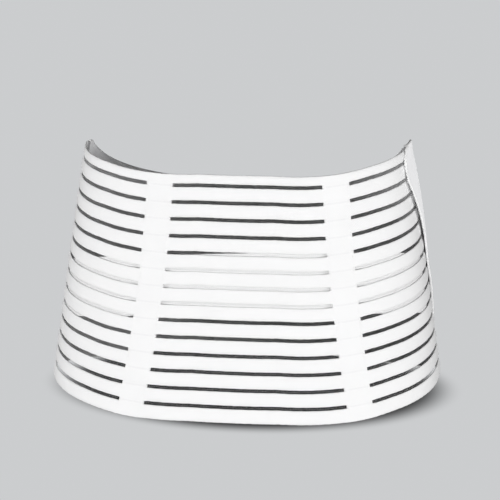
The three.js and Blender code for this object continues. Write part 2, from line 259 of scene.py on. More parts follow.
def key_distances(z):
    """Distances of the five key lines from the belt's centre line at height z, on a first axis."""
    height = z / BELT_HEIGHT + 0.5
    bow = 4 * CASING_BOW * height * (1 - height)
    middle = lerp(CASING_BOTTOM_OFFSET, CASING_TOP_OFFSET, height) - bow
    girth = half_girth(z)
    inner, outer = middle - CASING_WIDTH / 2, middle + CASING_WIDTH / 2
    return np.stack([np.zeros_like(girth), inner, outer, SIDE_SEAM_SHARE * girth, girth])


def distance_at(place, z):
    """Distance from the centre line of a place, straight between the two key lines beside it."""
    place, z = np.broadcast_arrays(np.asarray(place, float), np.asarray(z, float))
    wrapped = (place + CENTRE_FRONT) % FULL_TURN - CENTRE_FRONT
    length = np.abs(wrapped)
    key = np.minimum(np.floor(length).astype(int), CENTRE_FRONT - 1)
    keys = key_distances(z)
    low = np.take_along_axis(keys, key[None], 0)[0]
    high = np.take_along_axis(keys, key[None] + 1, 0)[0]
    return np.where(wrapped < 0, -1, 1) * lerp(low, high, length - key)


def place_at(distance, z):
    """Place of a distance from the centre line at height z, on either side of it."""
    keys = key_distances(np.asarray(z, float))
    return np.sign(distance) * np.interp(abs(distance), keys, np.arange(len(keys)))


def on_form(place, z, offset):
    """Points at a place, height and distance out from the form.

    A level row sags a little near the casings and is lifted towards the sides by the fourth power of
    how far out it is, a little more on the right by the cube. In front of the sides it keeps that lift
    and falls towards the centre front.
    """
    place, z, offset = np.broadcast_arrays(*[np.asarray(a, float) for a in (place, z, offset)])
    distance = distance_at(place, z) + BELT_TURN
    girth = half_girth(z)
    distance = np.where(distance > girth, distance - 2 * girth, distance)
    sizes = section_sizes(z)
    x, y, across, out_x, out_y = oval(angle_along(distance, z), sizes)
    side = np.where(y > 0, 1, np.abs(across) ** 4)
    sag = np.where(y > 0, 0, np.clip(1 - ((np.abs(across) - SAG_MIDDLE) / SAG_SPREAD) ** 2, 0, 1))
    forward = np.clip((y + FALL_START) / (sizes[2] + FALL_START), 0, 1)
    fall = FRONT_FALL * forward**FALL_EASE
    lift = SIDE_LIFT * side + RIGHT_SIDE_LIFT * across**3 - CASING_SAG * sag - fall
    return np.stack([x + out_x * offset, y + out_y * offset, z + lift], -1)


def place_behind_seam(length):
    """Place a length behind the side seam, measured at half height."""
    keys = key_distances(np.asarray(0.0))
    return SIDE_SEAM - length / (keys[SIDE_SEAM] - keys[CASING_OUTER])


def place_before_seam(length):
    """Place a length in front of the side seam, measured at half height."""
    keys = key_distances(np.asarray(0.0))
    return SIDE_SEAM + length / (keys[CENTRE_FRONT] - keys[SIDE_SEAM])


# Sines of a slow wave, longest first: turns in a wavelength, weight, shift with the seed, own shift
WANDER_SINES = ((1, 1, 1.7, 0), (2.31, 0.55, 4.1, 0.6), (4.73, 0.3, 2.9, 1.9))
WANDER_WEIGHT = sum(weight for _, weight, _, _ in WANDER_SINES)


def wander(t, seed, wavelength):
    """A slow wave between -1 and 1 along a length: three sines whose pitches don't divide each other."""
    phase = 2 * np.pi * t / wavelength
    sines = [weight * np.sin(turns * phase + drift * seed + start)
             for turns, weight, drift, start in WANDER_SINES]
    return sum(sines) / WANDER_WEIGHT


def places_between(start, end, step=CLOTH_STEP, extra=()):
    """Places from start to end about a step apart, with the key lines and the extra ones among them."""
    marks = [start, *[k for k in range(-CENTRE_FRONT, 2 * FULL_TURN) if start < k < end], *extra, end]
    marks = sorted(set(float(mark) for mark in marks))
    spans = []
    for low, high in zip(marks, marks[1:]):
        ends = distance_at(low, 0.0), distance_at(high, 0.0)
        length = abs(ends[1] - ends[0])
        girth = 2 * half_girth(0.0)
        count = max(1, int(np.ceil(min(length, abs(girth - length)) / step)))
        spans.append(np.linspace(low, high, count, endpoint=False))
    return np.append(np.concatenate(spans), end)


def lengths_along(places):
    """Length along the middle height from the first place to each of them."""
    points = on_form(places, 0.0, 0.0)
    return np.append(0, np.cumsum(np.linalg.norm(np.diff(points, axis=0), axis=1)))


# Meshes


def finish_piece(name, verts, faces, material, uv=None):
    """Makes the object from arrays, with one UV in metres per corner taken from its vertex."""
    mesh = bpy.data.meshes.new(name)
    mesh.from_pydata(verts.tolist(), [], faces)
    if uv is not None:
        layer = mesh.uv_layers.new(name="cloth")
        corners = np.zeros(len(mesh.loops), np.int32)
        mesh.loops.foreach_get("vertex_index", corners)
        layer.data.foreach_set("uv", uv[corners].astype(np.float32).ravel())
    mesh.polygons.foreach_set("use_smooth", np.ones(len(mesh.polygons), bool))
    mesh.update()
    mesh.materials.append(material)
    piece = bpy.data.objects.new(name, mesh)
    bpy.context.scene.collection.objects.link(piece)
    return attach(piece, "root")


def sheet_piece(name, places, z, inner, outer, material, solid=None):
    """Closed sheet on a grid of places by heights, between two distances from the form.

    Outer faces run counter-clockwise seen from outside, inner faces the other way, and a wall joins
    them along every solid cell's edge that has no solid neighbour.
    """
    z, inner, outer = np.broadcast_arrays(z, inner, outer)
    columns, rows = z.shape
    if solid is None:
        solid = np.ones((columns - 1, rows - 1), bool)
    count = columns * rows
    layers = [on_form(places[:, None], z, face) for face in (outer, inner)]
    verts = np.concatenate([layer.reshape(-1, 3) for layer in layers])
    along = np.broadcast_to(lengths_along(places)[:, None], z.shape)
    flat = np.stack([along, z], -1).reshape(-1, 2)

    def corner(i, j):
        return i * rows + j

    i, j = np.nonzero(solid)
    ring = np.stack([corner(i, j), corner(i + 1, j), corner(i + 1, j + 1), corner(i, j + 1)], -1)
    faces = [ring, ring[:, ::-1] + count]
    padded = np.pad(solid, 1)
    sides = {
        (0, -1): ((0, 0), (1, 0)),
        (1, 0): ((1, 0), (1, 1)),
        (0, 1): ((1, 1), (0, 1)),
        (-1, 0): ((0, 1), (0, 0)),
    }
    for (di, dj), (start, end) in sides.items():
        neighbour = padded[1 + di : columns + di, 1 + dj : rows + dj]
        i, j = np.nonzero(solid & ~neighbour)
        first = corner(i + start[0], j + start[1])
        last = corner(i + end[0], j + end[1])
        faces.append(np.stack([last, first, first + count, last + count], -1))
    faces = np.concatenate(faces)
    used, faces = np.unique(faces, return_inverse=True)
    uv = np.concatenate([flat, flat])[used]
    return finish_piece(name, verts[used], faces.reshape(-1, 4).tolist(), material, uv)


def thread_piece(name, lines, widths, material, sides, outward=None):
    """Many threads in one mesh, each carried along its own line of points.

    A ring of corners stands square to the line at each point, as wide as widths says there, and turned
    to the outward direction where one is given. The rings are joined in turn, and both tips are closed.
    """
    tangent = np.gradient(lines, axis=1)
    tangent /= np.linalg.norm(tangent, axis=2, keepdims=True)
    if outward is None:
        outward = np.where(np.abs(tangent[..., 2:]) < 0.8, [0.0, 0.0, 1.0], [1.0, 0.0, 0.0])
    first = np.cross(tangent, outward)
    first /= np.linalg.norm(first, axis=2, keepdims=True)
    second = np.cross(tangent, first)
    turn = 2 * np.pi * np.arange(sides) / sides
    circle = np.cos(turn)[:, None] * first[..., None, :] + np.sin(turn)[:, None] * second[..., None, :]
    verts = lines[..., None, :] + circle * widths[:, None, None]
    count, rings = lines.shape[:2]
    k = np.arange(sides)
    after = (k + 1) % sides
    level = np.arange(rings - 1)[:, None] * sides
    wall = np.stack([level + k, level + after, level + after + sides, level + k + sides], -1)
    base = np.arange(count)[:, None, None] * rings * sides
    walls = (wall.reshape(-1, 4) + base).reshape(-1, 4).tolist()
    tips = np.stack([k[::-1], (rings - 1) * sides + k])
    faces = walls + (tips + base).reshape(-1, sides).tolist()
    return finish_piece(name, verts.reshape(-1, 3), faces, material)


# Finishes: pitches of cords, ribs and twill, grains of nap and cloud, and depths of relief

SHEEN_ROUGHNESS = 0.4
ELASTIC_CORD = 1.3 * MM
ELASTIC_RIB = 1.5 * MM
ELASTIC_FUZZ = 0.5 * MM
ELASTIC_CLOUD = 25 * MM
ELASTIC_RELIEF = 0.10 * MM
ROW_SHADE_GRAIN = 1.4 * MM
BAND_CORD = 2.4 * MM
BAND_BRAID = 1.1 * MM
BRAID_SLANT = 0.8
BAND_RELIEF = 0.22 * MM
TWILL = 0.9 * MM
TAPE_FUZZ = 0.4 * MM
TAPE_RELIEF = 0.10 * MM
PANEL_NAP = 0.45 * MM
PANEL_MOTTLE = 14 * MM
PANEL_RELIEF = 0.25 * MM
HOOK_PITCH = 1.6 * MM
HOOK_ROW = 1.4 * MM
HOOK_RELIEF = 0.4 * MM
THREAD_SPOT = 0.8 * MM
THREAD_FUZZ = 0.3 * MM
THREAD_RELIEF = 0.05 * MM


class Finish:
    """One cloth finish, with short calls for the nodes of its pattern.

    along and up are the flat cloth's own lengths, from the piece's UV map, in metres.
    """

    def __init__(self, name, roughness, sheen=0.0, specular=0.3):
        self.material = bpy.data.materials.new(name)
        self.material.use_nodes = True
        self.tree = self.material.node_tree
        self.shader = self.tree.nodes["Principled BSDF"]
        self.shader.inputs["Roughness"].default_value = roughness
        self.shader.inputs["Specular IOR Level"].default_value = specular
        self.shader.inputs["Sheen Weight"].default_value = sheen
        self.shader.inputs["Sheen Roughness"].default_value = SHEEN_ROUGHNESS
        where = self.node("ShaderNodeUVMap")
        where.uv_map = "cloth"
        split = self.node("ShaderNodeSeparateXYZ")
        self.link(where.outputs["UV"], split.inputs[0])
        self.along, self.up = split.outputs["X"], split.outputs["Y"]

    def node(self, kind):
        return self.tree.nodes.new(kind)

    def link(self, output, socket):
        self.tree.links.new(output, socket)

    def math(self, operation, *values):
        """One step of arithmetic on plain numbers and other nodes' outputs."""
        step = self.node("ShaderNodeMath")
        step.operation = operation
        for socket, value in zip(step.inputs, values):
            if isinstance(value, (int, float)):
                socket.default_value = value
            else:
                self.link(value, socket)
        return step.outputs[0]

    def wave(self, coordinate, pitch, phase=0.0):
        """0 to 1 and back over each pitch: half of 1 plus the sine of the coordinate's turns."""
        turns = self.math("MULTIPLY_ADD", coordinate, 2 * np.pi / pitch, phase)
        return self.math("MULTIPLY_ADD", self.math("SINE", turns), 0.5, 0.5)

    def noise(self, grain, detail=2.0):
        """Cloudy pattern whose patches are about a grain wide."""
        cloud = self.node("ShaderNodeTexNoise")
        cloud.inputs["Scale"].default_value = 1 / grain
        cloud.inputs["Detail"].default_value = detail
        where = self.node("ShaderNodeTexCoord")
        self.link(where.outputs["Object"], cloud.inputs["Vector"])
        return cloud.outputs["Fac"]

    def colour(self, share, low, high):
        """Base colour between two greys, by a share."""
        mix = self.node("ShaderNodeMix")
        mix.data_type = "RGBA"
        self.link(share, mix.inputs["Factor"])
        mix.inputs["A"].default_value = (*low, 1)
        mix.inputs["B"].default_value = (*high, 1)
        self.link(mix.outputs["Result"], self.shader.inputs["Base Color"])

    def relief(self, height, depth):
        """The height pattern, 0 to 1, as a bump of that depth in metres."""
        bump = self.node("ShaderNodeBump")
        bump.inputs["Strength"].default_value = 1.0
        bump.inputs["Distance"].default_value = depth
        self.link(height, bump.inputs["Height"])
        self.link(bump.outputs["Normal"], self.shader.inputs["Normal"])


def elastic_finish():
    """White woven elastic: short cross ribs set half a pitch over in each second warp cord.

    Over the casings and seams, where the rows are closed, a ragged line of painted shade darkens each row
    in the base colour.
    """
    finish = Finish("white_striped_elastic", 0.78, sheen=0.12)
    cords = finish.wave(finish.up, ELASTIC_CORD)
    ribs = finish.wave(finish.along, ELASTIC_RIB)
    offset_ribs = finish.wave(finish.along, ELASTIC_RIB, phase=np.pi)
    which = finish.math("GREATER_THAN", finish.wave(finish.up, 2 * ELASTIC_CORD), 0.5)
    other = finish.math("SUBTRACT", 1.0, which)
    woven = finish.math("ADD", finish.math("MULTIPLY", ribs, which),
                        finish.math("MULTIPLY", offset_ribs, other))
    fuzz = finish.noise(ELASTIC_FUZZ)
    height = finish.math("MULTIPLY_ADD", woven, 0.6, finish.math("MULTIPLY", cords, 0.3))
    height = finish.math("MULTIPLY_ADD", fuzz, 0.25, height)
    half_height = finish.math("MULTIPLY", height, 0.5)
    cloud = finish.math("MULTIPLY_ADD", finish.noise(ELASTIC_CLOUD), 0.5, half_height)
    from_row = finish.math("SUBTRACT", finish.up, SLOT_MIDDLE)
    beside = finish.math("ABSOLUTE", finish.math("WRAP", from_row, SLOT_PITCH / 2, -SLOT_PITCH / 2))
    # painted shade: a ragged darker band along the middle of each closed row, in the base colour
    row = finish.math("LESS_THAN", beside, ROW_SHADE_WIDTH / 2)
    row_shade = finish.math("MULTIPLY", row, finish.math("POWER", finish.noise(ROW_SHADE_GRAIN), 1.5))
    shade = finish.math("MULTIPLY_ADD", row_shade, -1.2, cloud)
    finish.colour(shade, (0.80, 0.80, 0.805), (0.88, 0.88, 0.88))
    finish.relief(height, ELASTIC_RELIEF)
    return finish.material


def band_finish():
    """White braided elastic: lengthwise cords with a fine slanting braid on them. Its greys are set below
    the striped elastic's as painted shade, for where it lies behind the sheer rows.
    """
    finish = Finish("white_braided_elastic", 0.8, sheen=0.12)
    cords = finish.math("POWER", finish.wave(finish.up, BAND_CORD), 0.6)
    slant = finish.math("ADD", finish.along, finish.math("MULTIPLY", finish.up, BRAID_SLANT))
    braid = finish.wave(slant, BAND_BRAID)
    height = finish.math("MULTIPLY_ADD", cords, 0.7, finish.math("MULTIPLY", braid, 0.3))
    # painted shade: the band's greys are set darker than the striped elastic's, to darken it where it
    # shows behind the sheer rows
    finish.colour(height, (0.66, 0.66, 0.665), (0.76, 0.76, 0.76))
    finish.relief(height, BAND_RELIEF)
    return finish.material


def tape_finish():
    """White woven tape: fine twill lines at a slant."""
    finish = Finish("white_casing_tape", 0.75, sheen=0.1)
    slant = finish.math("ADD", finish.along, finish.up)
    twill = finish.wave(slant, TWILL)
    fuzz = finish.noise(TAPE_FUZZ)
    height = finish.math("MULTIPLY_ADD", twill, 0.7, finish.math("MULTIPLY", fuzz, 0.4))
    finish.colour(height, (0.78, 0.78, 0.78), (0.87, 0.87, 0.87))
    finish.relief(height, TAPE_RELIEF)
    return finish.material


def panel_finish():
    """Smooth brushed cloth on foam: fine short nap over slow, shallow mottling."""
    finish = Finish("white_brushed_panel", 0.9, sheen=0.25, specular=0.2)
    nap = finish.noise(PANEL_NAP, detail=3.0)
    mottle = finish.noise(PANEL_MOTTLE)
    height = finish.math("MULTIPLY_ADD", mottle, 0.9, finish.math("MULTIPLY", nap, 0.12))
    shade = finish.math("MULTIPLY_ADD", mottle, 0.6, finish.math("MULTIPLY", nap, 0.4))
    finish.colour(shade, (0.70, 0.70, 0.71), (0.80, 0.80, 0.81))
    finish.relief(height, PANEL_RELIEF)
    return finish.material


def hook_finish():
    """Hook tape: small stiff hooks in straight rows, each the square of two crossed waves."""
    finish = Finish("white_hook_tape", 0.5, specular=0.45)
    across = finish.wave(finish.along, HOOK_PITCH)
    rows = finish.wave(finish.up, HOOK_ROW)
    hooks = finish.math("POWER", finish.math("MULTIPLY", across, rows), 2.0)
    finish.colour(hooks, (0.62, 0.62, 0.62), (0.85, 0.85, 0.85))
    finish.relief(hooks, HOOK_RELIEF)
    return finish.material


def thread_finish(name, roughness):
    """Thread or cord: small uneven spots of light and shade along it."""
    finish = Finish(name, roughness, specular=0.4)
    finish.colour(finish.noise(THREAD_SPOT), (0.78, 0.78, 0.78), (0.90, 0.90, 0.90))
    finish.relief(finish.noise(THREAD_FUZZ), THREAD_RELIEF)
    return finish.material


ELASTIC = elastic_finish()
BAND = band_finish()
TAPE = tape_finish()
PANEL = panel_finish()
HOOKS = hook_finish()
NET = thread_finish("white_net_thread", 0.5)
SEWING = thread_finish("white_sewing_thread", 0.6)
HEM_ROLL = thread_finish("white_rolled_hem", 0.9)


# Striped elastic: its strips' edges, the rows of points up a strip, and the runs of open rows

STRIP_LOWS = np.append(-HALF_HEIGHT, SLOT_HIGHS)
STRIP_HIGHS = np.append(SLOT_LOWS, HALF_HEIGHT)
STRIP_ROWS = np.array([0, 0.04, 0.12, 0.28, 0.5, 0.72, 0.88, 0.96, 1])
SLOT_END = float(place_behind_seam(SLOT_END_MARGIN))
OPEN_RUNS = ((-SLOT_END, -CASING_OUTER), (-CASING_INNER, CASING_INNER), (CASING_OUTER, SLOT_END))
SLOT_WANDER = 0.12 * MM
SLOT_WAVE_LENGTH = 85 * MM
EDGE_WANDER = 0.12 * MM
LOW_EDGE_WAVE_LENGTH = 9 * MM
HIGH_EDGE_WAVE_LENGTH = 8 * MM
RIM_WAVE_LENGTH = 7 * MM
SELVAGE_WAVE_LENGTH = 11 * MM
SOFT_WAVE = 0.22 * MM
SOFT_WAVE_LENGTH = 55 * MM
CASING_FADE = 0.05


def elastic_places():
    """Places round the elastic from side seam to side seam, and the length along it to each."""
    places = places_between(-SIDE_SEAM, SIDE_SEAM, extra=(-SLOT_END, SLOT_END))
    return places, lengths_along(places)


def over_casing(place):
    """1 over a stay casing, falling to 0 within a few millimetres beside it."""
    middle = (CASING_INNER + CASING_OUTER) / 2
    beside = np.abs(np.abs(place) - middle) - 0.5
    return 1 - smooth(beside / CASING_FADE)


def strip_share(z):
    """How far up its strip a height is, 0 to 1, and 1 within a sheer row."""
    strip = np.clip(np.searchsorted(STRIP_LOWS, z, side="right") - 1, 0, SLOT_COUNT)
    return np.clip((z - STRIP_LOWS[strip]) / (STRIP_HIGHS - STRIP_LOWS)[strip], 0, 1)


def elastic_outer(place, along, z, share):
    """The elastic's outer face: a slow wave, less the crown's drop at the edges of each strip.

    The drop goes by the fourth power of how far a point is from the strip's middle.
    """
    crown = STRIP_CROWN * lerp(1, CASING_CROWN_SHARE, over_casing(place))
    wave = SOFT_WAVE * (0.5 + 0.5 * wander(along + 0.7 * z, 3, SOFT_WAVE_LENGTH))
    return wave - crown * np.abs(2 * share - 1) ** 4


def slot_wander(along, slot):
    """How far one sheer row strays up or down along its length."""
    return SLOT_WANDER * wander(along, 1.3 * slot, SLOT_WAVE_LENGTH)


def striped_elastic():
    """Fifteen crowned strips, joined over the casings and at the ends, open at the sheer rows."""
    places, lengths = elastic_places()
    along = lengths[:, None]
    slots = np.arange(SLOT_COUNT)
    shift = slot_wander(along, slots)
    low_edge = shift + EDGE_WANDER * wander(along, 5.1 + slots, LOW_EDGE_WAVE_LENGTH)
    high_edge = shift + EDGE_WANDER * wander(along, 7.7 + 2 * slots, HIGH_EDGE_WAVE_LENGTH)
    rim = EDGE_WANDER * wander(along, 2.2, RIM_WAVE_LENGTH)
    lows = STRIP_LOWS + np.concatenate([rim, high_edge], 1)
    highs = STRIP_HIGHS + np.concatenate([low_edge, rim], 1)
    z = lows[..., None] + (highs - lows)[..., None] * STRIP_ROWS
    z = z.reshape(len(places), -1)
    share = np.tile(STRIP_ROWS, SLOT_COUNT + 1)
    outer = elastic_outer(places[:, None], along, z, share)
    inner = -ELASTIC_THICKNESS + STRIP_BACK_CROWN * np.abs(2 * share - 1) ** 4
    middle = np.abs((places[1:] + places[:-1]) / 2)
    closed = ((middle > CASING_INNER) & (middle < CASING_OUTER)) | (middle > SLOT_END)
    solid = np.ones((len(places) - 1, z.shape[1] - 1), bool)
    solid[:, len(STRIP_ROWS) - 1 :: len(STRIP_ROWS)] = closed[:, None]
    piece = sheet_piece("elastic_strips", places, z, inner, outer, ELASTIC, solid)
    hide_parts("striped_elastic")


def net_threads():
    """Upright threads across every sheer row, leaning a little to one side and the other in turn."""
    every, lengths = elastic_places()
    lines = []
    for start, end in OPEN_RUNS:
        first, last = np.interp([start, end], every, lengths)
        count = int((last - first) / NET_PITCH)
        at = np.linspace(first, last, count + 2)[1:-1]
        lean = NET_LEAN * np.where(np.arange(count) % 2, 1, -1)
        place_low = np.interp(at - lean, lengths, every)[:, None]
        place_high = np.interp(at + lean, lengths, every)[:, None]
        shift = slot_wander(at[:, None], np.arange(SLOT_COUNT))
        low = on_form(place_low, SLOT_LOWS + shift - NET_HOLD, -NET_DEPTH)
        high = on_form(place_high, SLOT_HIGHS + shift + NET_HOLD, -NET_DEPTH)
        lines.append(np.stack([low, high], 2).reshape(-1, 2, 3))
    piece = thread_piece("sheer_net", np.concatenate(lines), np.full(2, NET_THREAD / 2), NET, sides=4)


def net_runs():
    """One thread along the middle of every sheer row, in each open run."""
    every, lengths = elastic_places()
    for number, (start, end) in enumerate(OPEN_RUNS):
        places = every[(every >= start) & (every <= end)]
        at = np.interp(places, every, lengths)
        slots = np.arange(SLOT_COUNT)[:, None]
        middle = (SLOT_LOWS + SLOT_HIGHS)[:, None] / 2 + slot_wander(at, slots)
        lines = on_form(places, middle, -NET_DEPTH)
        widths = np.full(len(places), NET_THREAD / 2)
        piece = thread_piece(f"sheer_net_run_{number + 1}", lines, widths, NET, sides=4)


# Stay casings, inner band and stitches

CASING_COLUMNS = 21
CASING_ROWS = 90
STAY_FLAT = 0.3
STAY_EASE = 0.55
BAND_ROWS = np.array([0, 0.01, 0.04, *np.linspace(0.08, 0.92, 22), 0.96, 0.99, 1])
BAND_EDGE_ROUND = 0.3 * MM


def stay_casing(name, node, side):
    """Sewn tunnel inside the elastic: flat edges, and a rounded rise over its stay."""
    ends = sorted((side * CASING_INNER, side * CASING_OUTER))
    places = np.linspace(*ends, CASING_COLUMNS)
    z = np.linspace(-HALF_HEIGHT + CASING_END_INSET, HALF_HEIGHT - CASING_END_INSET, CASING_ROWS)
    z = np.broadcast_to(z, (len(places), len(z)))
    outer = -ELASTIC_THICKNESS - LAYER_GAP
    toward_edge = np.abs(2 * (places - ends[0]) - 1)[:, None]
    rise = STAY_BULGE * (1 - smooth((toward_edge - STAY_FLAT) / STAY_EASE))
    inner = outer - CASING_EDGE_THICKNESS - rise
    piece = sheet_piece(name, places, z, inner, outer, TAPE)
    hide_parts(node)


def band_middle(place):
    """Height of the band's middle at a place: level in space, tipped to the front and to the left."""
    spine = on_form(0.0, BAND_RISE, 0.0)
    point = on_form(place, BAND_RISE, 0.0)
    lift = point[..., 2] - BAND_RISE
    fall = np.tan(BAND_TILT) * (point[..., 1] - spine[1])
    return BAND_RISE - fall + np.tan(BAND_ROLL) * point[..., 0] - lift


def band_depth(place):
    """How deep the band's outer face lies: on the elastic, stepping up over each casing and its stay.

    It climbs onto the stay within a third of the casing's width.
    """
    keys = key_distances(np.asarray(BAND_RISE))
    distance = np.abs(distance_at(place, BAND_RISE))
    beside = np.maximum(keys[CASING_INNER] - distance, distance - keys[CASING_OUTER])
    on_elastic = ELASTIC_THICKNESS + LAYER_GAP
    on_casing = on_elastic + CASING_EDGE_THICKNESS + LAYER_GAP
    onto_stay = smooth(-3 * beside / CASING_WIDTH)
    return lerp(on_casing, on_elastic, smooth(beside / BAND_STEP_LENGTH)) + STAY_BULGE * onto_stay


def inner_band():
    """Plain band inside the back, its middle line by band_middle, its edges rounded by an eighth power."""
    left = place_at(BAND_SHIFT - BAND_HALF_LENGTH, BAND_RISE)
    right = place_at(BAND_SHIFT + BAND_HALF_LENGTH, BAND_RISE)
    places = places_between(left, right)
    along = lengths_along(places)[:, None]
    selvage = EDGE_WANDER * wander(along, 4.4, SELVAGE_WAVE_LENGTH)
    z = band_middle(places)[:, None] + selvage + BAND_WIDTH * (BAND_ROWS - 0.5)
    rounding = BAND_EDGE_ROUND * np.abs(2 * BAND_ROWS - 1) ** 8
    outer = -band_depth(places)[:, None] - rounding
    inner = -band_depth(places)[:, None] - BAND_THICKNESS + rounding
    piece = sheet_piece("inner_band", places, z, inner, outer, BAND)
    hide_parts("inner_support_band")


STITCH = 2.7 * MM
STITCH_GAP = 0.6 * MM
STITCH_THREAD = 0.38 * MM
STITCH_SHARES = np.array([0, 0.22, 0.5, 0.78, 1])
STITCH_RISE = np.array([-0.35, 0.02, 0.1, 0.02, -0.35]) * MM
STITCH_WIDTHS = STITCH_THREAD / 2 * np.array([0.5, 1, 1, 1, 0.5])

# Rows of stitches: points along one, how far it stops from the edges, and where the rows lie
SEAM_POINTS = 300
SEAM_END_INSET = 4 * MM
CASING_SEAM_PLACES = {"inner_edge": CASING_INNER + 0.06, "outer_edge": CASING_OUTER - 0.06}
SIDE_SEAM_ROWS = (3 * MM, 8 * MM)


def stitches_along(path, outward):
    """Lines of stitches along a path of points: each rises from the cloth, runs on and dips back."""
    lengths = np.append(0, np.cumsum(np.linalg.norm(np.diff(path, axis=0), axis=1)))
    starts = np.arange(STITCH_GAP, lengths[-1] - STITCH, STITCH + STITCH_GAP)
    at = starts[:, None] + STITCH * STITCH_SHARES
    points = np.stack([np.interp(at, lengths, path[:, k]) for k in range(3)], -1)
    out = np.stack([np.interp(at, lengths, outward[:, k]) for k in range(3)], -1)
    return points + out * STITCH_RISE[:, None]


def seam_stitches(name, places, z, face, side, slot):
    """Stitches along one line on a face of a sheet; side is 1 on its outer face, -1 on its inner one."""
    path = on_form(places, z, face)
    beyond = on_form(places, z, face + side * MM)
    lines = stitches_along(path, (beyond - path) / MM)
    piece = thread_piece(name, lines, STITCH_WIDTHS, SEWING, sides=5)
    return piece


def upright_seams():
    """Stitches down both edges of each casing, and two rows down each side seam."""
    z = np.linspace(-HALF_HEIGHT + SEAM_END_INSET, HALF_HEIGHT - SEAM_END_INSET, SEAM_POINTS)
    share = strip_share(z)
    inside = -ELASTIC_THICKNESS - LAYER_GAP - CASING_EDGE_THICKNESS
    for side, word in ((-1, "left"), (1, "right")):
        for edge, place in CASING_SEAM_PLACES.items():
            name = f"casing_stitches_{word}_{edge}"
            face = elastic_outer(place, 0.0, z, share)
            seam_stitches(name, side * place, z, face, 1, "casing_tape")
            seam_stitches(f"{name}_inside", side * place, z, inside, -1, "casing_tape")
        for number, behind in enumerate(SIDE_SEAM_ROWS):
            name = f"side_seam_stitches_{word}_{number + 1}"
            place = float(place_behind_seam(behind))
            face = elastic_outer(place, 0.0, z, share)
            seam_stitches(name, side * place, z, face, 1, "striped_elastic")


# Front panels

UNDER_PANEL_FACE = -ELASTIC_THICKNESS - LAYER_GAP
SEWN_FACE = UNDER_PANEL_FACE - PANEL_THICKNESS
HOOK_ROOM = HOOK_THICKNESS + 2 * LAYER_GAP
HOOK_ROWS = 50
HEM = 4.0 * MM
HEM_CLEAR = 0.8 * HEM
ROLL_THICKNESS = 2.3 * MM
EDGE_ROUND = 0.6 * MM
EDGE_ANGLE = np.radians(50)
PANEL_WAVE = 0.5 * MM
PANEL_WAVE_LENGTH = 120 * MM
PANEL_WAVE_START = 60 * MM
UNDER_PANEL_END = float(place_before_seam(UNDER_PANEL_PAST_CENTRE)) - SIDE_SEAM + CENTRE_FRONT
OUTER_PANEL_START = float(place_at(FLAP_END_OFFSET, 0.0))
OUTER_PANEL_END = FULL_TURN - float(place_behind_seam(SEAM_OVERLAP))
CORNER_SHARES = (0.03, 0.08, 0.16, 0.3, 0.5, 0.75, 1)

# Shares of a panel's height for its rows of points, closer together near both edges
NEAR_EDGE = np.array([0, 0.004, 0.012, 0.022])
PANEL_ROWS = np.concatenate([NEAR_EDGE, np.linspace(0.035, 0.965, 56), 1 - NEAR_EDGE[::-1]])


def front_share(place):
    """0 behind the side seam, 1 at the centre front."""
    wrapped = (np.asarray(place, float) + CENTRE_FRONT) % FULL_TURN - CENTRE_FRONT
    return np.clip((np.abs(wrapped) - SIDE_SEAM) / (CENTRE_FRONT - SIDE_SEAM), 0, 1)


def front_bottom(place):
    """The panels' bottom edge, which rises to the centre front by the eased step."""
    return -HALF_HEIGHT + FRONT_BOTTOM_RISE * smooth(front_share(place))


def front_top(place):
    """The panels' top edge, which drops from the seam, steep at first: 1 less the cube of the rest."""
    return HALF_HEIGHT - FRONT_TOP_DROP * (1 - (1 - front_share(place)) ** 3)


def forward_of_flap_end(place):
    """Length round the front from the flap's rearmost line, at the belt's middle height."""
    distance = distance_at(place, 0.0)
    return np.where(distance > 0, distance, distance + 2 * half_girth(0.0)) - FLAP_END_OFFSET


def flap_bottom(place):
    """The flap's lower edge: its slanted free end, straight from the shoulder down, then the bottom."""
    run = np.clip(forward_of_flap_end(place) / FLAP_END_RUN, 0, 1)
    slant = lerp(HALF_HEIGHT - FLAP_SHOULDER, -HALF_HEIGHT, run)
    return np.maximum(slant, front_bottom(place))


def flap_top(place):
    """The flap's top edge: a little proud near its free end, where a quarter circle rounds it."""
    forward = forward_of_flap_end(place)
    cut = 1 - np.clip(forward / FLAP_CORNER, 0, 1)
    rounding = FLAP_CORNER * (1 - np.sqrt(1 - cut * cut))
    return front_top(place) + FLAP_PROUD * (1 - smooth(forward / FLAP_PROUD_REACH)) - rounding


def flap_inner(place, z):
    """The flap's inner face: outside the elastic behind the seam, over the under panel, then sewn level.

    Its free end stands off more where it gapes, by a parabola over the height. A slow wave softens the
    front.
    """
    past_seam = (place - SIDE_SEAM) / (place_before_seam(HOOK_INSET) - SIDE_SEAM)
    past_under = (place - UNDER_PANEL_END) / (FULL_TURN - SIDE_SEAM - UNDER_PANEL_END)
    closed = lerp(LAYER_GAP, UNDER_PANEL_FACE + HOOK_ROOM, smooth(past_seam))
    rise = np.clip(1 - ((z - FLAP_GAPE_RISE) / (FLAP_GAPE_SPAN / 2)) ** 2, 0, 1)
    forward = forward_of_flap_end(place)
    gape = FLAP_GAPE * rise * (1 - smooth(forward / FLAP_GAPE_REACH))
    wave = 0.5 + 0.5 * wander(forward - 0.4 * z, 6, PANEL_WAVE_LENGTH)
    soft = PANEL_WAVE * wave * smooth(forward / PANEL_WAVE_START)
    return lerp(closed, SEWN_FACE, smooth(past_under)) + gape + soft * (1 - smooth(past_under))


def panel_area(places, low, high):
    """Flat area of a panel: its height summed over its length."""
    along = lengths_along(places)
    height = high - low
    return float(np.sum((height[1:] + height[:-1]) / 2 * np.diff(along)))


